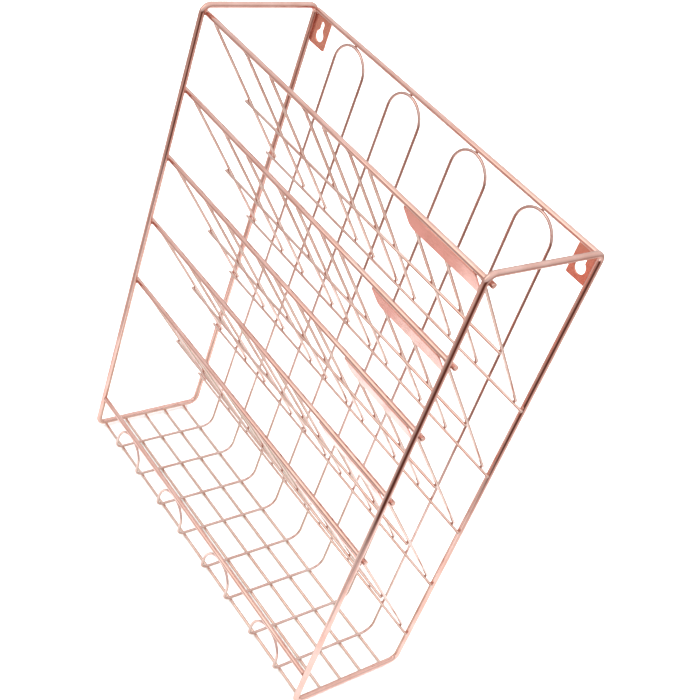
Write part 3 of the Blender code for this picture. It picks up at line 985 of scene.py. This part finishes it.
class RACK_OT_stage(bpy.types.Operator):
    """White sweep, a glowing card of painted floor light for reflections, soft light and the camera"""

    bl_idname = "rack.stage"
    bl_label = "Stage"

    def execute(self, context):
        settings = context.scene.rack_stage
        self.floor(settings)
        self.patch(settings)
        self.light(settings)
        self.camera(settings)
        context.scene.view_settings.view_transform = "Standard"
        return {"FINISHED"}

    def sheet(self, name, wide, finish):
        """A square stage sheet on the floor, from half its width."""
        mesh = bpy.data.meshes.new(name)
        corners = [(-wide, -wide, 0.0), (wide, -wide, 0.0), (wide, wide, 0.0), (-wide, wide, 0.0)]
        mesh.from_pydata(corners, [], [(0, 1, 2, 3)])
        mesh.materials.append(finish)
        item = bpy.data.objects.new(name, mesh)
        bpy.context.scene.collection.objects.link(item)
        item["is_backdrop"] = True
        return item

    def floor(self, settings):
        """Matt white paper, wide enough to fill every view; the metal sees a card of painted light instead.
        """
        finish, tree, out = new_finish("white_paper_sweep")
        place = add_node(tree, "ShaderNodeTexCoord").outputs["Object"]
        # paper tooth 2 mm across, far coarser than real paper
        rough = {"Vector": place, "Scale": 1 / (2 * MM), "Detail": 2.0}
        tooth = add_node(tree, "ShaderNodeTexNoise", rough)
        tone = settings.sweep_tone
        toothed = {"Factor": tooth.outputs["Fac"], "A": tone, "B": tone * TOOTH_SHADE}
        colour = add_node(tree, "ShaderNodeMix", toothed, data_type="RGBA")
        paper = {"Base Color": colour.outputs["Result"], "Roughness": 0.9, "Specular IOR Level": 0.1}
        shader = add_node(tree, "ShaderNodeBsdfPrincipled", paper)
        tree.links.new(shader.outputs["BSDF"], out.inputs["Surface"])
        self.sheet("sweep", SWEEP_HALF, finish).visible_glossy = False

    def disc(self, tree, point, centre, reach, inside=0.0, outside=1.0):
        """A value that goes from inside to outside as the distance from a centre crosses a range."""
        away = add_node(tree, "ShaderNodeVectorMath", {0: point, 1: centre}, operation="DISTANCE")
        crossing = {"Value": away.outputs["Value"], "From Min": reach[0], "From Max": reach[1]}
        crossing |= {"To Min": inside, "To Max": outside}
        return add_node(tree, "ShaderNodeMapRange", crossing).outputs["Result"]

    def patch(self, settings):
        """The floor as the metal sees it, painted on a glowing card that only reflections see: a painted lit
        patch round the rack that fades to a painted dim room.

        The fade runs on the distance from the rack: to a dark tone towards the camera, and on the
        other sides to a mid tone that dims further off. Under the tray the patch has painted shade, with
        soft edges; a disc behind at the left holds the rack's painted shadow, and a disc ahead is painted
        dimmer.
        """
        finish, tree, out = new_finish("painted_floor_glow")
        point = add_node(tree, "ShaderNodeTexCoord").outputs["Object"]
        from_middle = {0: point, 1: PATCH_MIDDLE}
        way = add_node(tree, "ShaderNodeVectorMath", from_middle, operation="SUBTRACT")
        way = add_node(tree, "ShaderNodeVectorMath", {0: way.outputs["Vector"]}, operation="NORMALIZE")
        likeness = {0: way.outputs["Vector"], 1: CAMERA_WAY}
        ahead = add_node(tree, "ShaderNodeVectorMath", likeness, operation="DOT_PRODUCT")
        sector = {"Value": ahead.outputs["Value"], "From Min": CAMERA_RANGE[0], "From Max": CAMERA_RANGE[1]}
        front = add_node(tree, "ShaderNodeMapRange", sector).outputs["Result"]

        # painted shade under the tray: the rack's footprint, with soft edges
        away = add_node(tree, "ShaderNodeVectorMath", {0: point}, operation="ABSOLUTE")
        away = add_node(tree, "ShaderNodeSeparateXYZ", {"Vector": away.outputs["Vector"]})
        blur = settings.shade_blur / 2
        shades = {}
        for index, edge in enumerate(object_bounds()[1][:2]):
            shade = {"Value": away.outputs[index], "From Min": edge - blur, "From Max": edge + blur}
            shade |= {"To Min": 1.0, "To Max": 0.0}
            shades[index] = add_node(tree, "ShaderNodeMapRange", shade).outputs["Result"]
        under = add_node(tree, "ShaderNodeMath", shades, operation="MULTIPLY").outputs["Value"]

        dim = self.disc(tree, point, PATCH_MIDDLE, FAR_RANGE)
        fade = self.disc(tree, point, PATCH_MIDDLE, (settings.patch_radius, settings.patch_fade))
        # painted shadow of the rack in a disc behind at the left
        aside = self.disc(tree, point, SIDE_MIDDLE, SIDE_RANGE, 1.0, 0.0)
        # each step lays one more tone over the floor so far, by its share
        # painted room reflection: a mid tone that dims further off, and painted dark towards the camera
        rim = settings.rear_tone
        for share, tone in ((dim, settings.far_tone), (front, settings.front_tone)):
            over = {"Factor": share, "A": rim, "B": tone}
            rim = add_node(tree, "ShaderNodeMix", over, data_type="RGBA").outputs["Result"]
        colour = [settings.patch_bright] * 3
        for share, tone in ((under, settings.shade_tone), (fade, rim), (aside, settings.side_shadow_tone)):
            over = {"Factor": share, "A": colour, "B": tone}
            colour = add_node(tree, "ShaderNodeMix", over, data_type="RGBA").outputs["Result"]
        # painted shade: the glow is dimmer in a disc ahead
        strength = self.disc(tree, point, AHEAD_MIDDLE, AHEAD_RANGE, AHEAD_DIMMED)
        # the card glows though it is no lamp: painted light and shade that only reflections see
        glow = add_node(tree, "ShaderNodeEmission", {"Color": colour, "Strength": strength})
        tree.links.new(glow.outputs["Emission"], out.inputs["Surface"])
        card = self.sheet("painted_reflection_card", CARD_HALF, finish)
        card.visible_camera = False
        card.visible_diffuse = False
        card.visible_shadow = False
        card.visible_transmission = False

    def light(self, settings):
        """A white room, brighter overhead, a soft sky for the paper and a wide softbox front left."""
        world = bpy.data.worlds.new("white_room")
        world.use_nodes = True
        tree = world.node_tree
        background = tree.nodes["Background"]
        background.inputs["Color"].default_value = (*ROOM_TINT, 1.0)
        ways = add_node(tree, "ShaderNodeTexCoord")
        height = add_node(tree, "ShaderNodeSeparateXYZ", {"Vector": ways.outputs["Generated"]})
        rising = {"Value": height.outputs["Z"], "From Max": CEILING_RISE}
        rising |= {"To Min": settings.room_light, "To Max": settings.ceiling_light}
        strength = add_node(tree, "ShaderNodeMapRange", rising)
        # the backdrop itself stays plain white
        ray = add_node(tree, "ShaderNodeLightPath")
        seen = {0: strength.outputs["Result"], 1: ray.outputs["Is Camera Ray"]}
        shown = add_node(tree, "ShaderNodeMath", seen, operation="MAXIMUM")
        tree.links.new(shown.outputs["Value"], background.inputs["Strength"])
        bpy.context.scene.world = world
        sky = bpy.data.lights.new("soft_sky", "SUN")
        sky.energy = settings.sun_light
        sky.angle = SKY_ANGLE
        sky_item = bpy.data.objects.new("soft_sky", sky)
        sky_item.visible_glossy = False
        bpy.context.scene.collection.objects.link(sky_item)

        key = bpy.data.lights.new("key_softbox", "AREA")
        key.shape = "RECTANGLE"
        key.size, key.size_y = KEY_SIZE
        key.energy = settings.key_light
        key.color = settings.key_tone
        key_item = bpy.data.objects.new("key_softbox", key)
        key_item.location = KEY_PLACE
        looking = Vector(KEY_TARGET) - Vector(KEY_PLACE)
        key_item.rotation_euler = looking.to_track_quat("-Z", "Y").to_euler()
        bpy.context.scene.collection.objects.link(key_item)

    def camera(self, settings):
        """The photograph's camera, from its place, line of sight and picture's right."""
        lens = bpy.data.cameras.new("camera")
        lens.lens = settings.lens
        lens.sensor_width = 36.0
        lens.clip_start = 0.01
        back = -Vector(settings.camera_ahead).normalized()
        right = Vector(settings.camera_right)
        right = (right - back * right.dot(back)).normalized()
        turned = Matrix((right, back.cross(right), back)).transposed().to_4x4()
        item = bpy.data.objects.new("camera", lens)
        item.matrix_world = Matrix.Translation(settings.camera_place) @ turned
        bpy.context.scene.collection.objects.link(item)
        bpy.context.scene.camera = item


OPERATORS = (
    RACK_OT_side_frames,
    RACK_OT_rails,
    RACK_OT_hairpins,
    RACK_OT_cross_wires,
    RACK_OT_back_loops,
    RACK_OT_label_plates,
    RACK_OT_hanger_plates,
    RACK_OT_welds,
    RACK_OT_stage,
)


class RACK_PT_panel(bpy.types.Panel):
    """Sizes, colours and steps of the rack"""

    bl_idname = "RACK_PT_panel"
    bl_label = "Magazine Rack"
    bl_space_type = "VIEW_3D"
    bl_region_type = "UI"
    bl_category = "Rack"

    def draw(self, context):
        """Each group of settings in a box, then a button for each step."""
        for group in (context.scene.rack_sizes, context.scene.rack_finish, context.scene.rack_stage):
            box = self.layout.box()
            for key in group.__annotations__:
                box.prop(group, key)
        for step in OPERATORS:
            self.layout.operator(step.bl_idname)


CLASSES = (RackSizes, RackFinish, RackStage, *OPERATORS, RACK_PT_panel)


def register():
    """Register the classes and hang the settings on the scene."""
    for item in CLASSES:
        bpy.utils.register_class(item)
    bpy.types.Scene.rack_sizes = PointerProperty(type=RackSizes)
    bpy.types.Scene.rack_finish = PointerProperty(type=RackFinish)
    bpy.types.Scene.rack_stage = PointerProperty(type=RackStage)


def unregister():
    """Take the settings and the classes away again."""
    del bpy.types.Scene.rack_stage
    del bpy.types.Scene.rack_finish
    del bpy.types.Scene.rack_sizes
    for item in reversed(CLASSES):
        bpy.utils.unregister_class(item)


def main():
    """Register and build each group in order."""
    register()
    for step in OPERATORS:
        group, name = step.bl_idname.split(".")
        getattr(getattr(bpy.ops, group), name)()


if __name__ == "__main__":
    main()
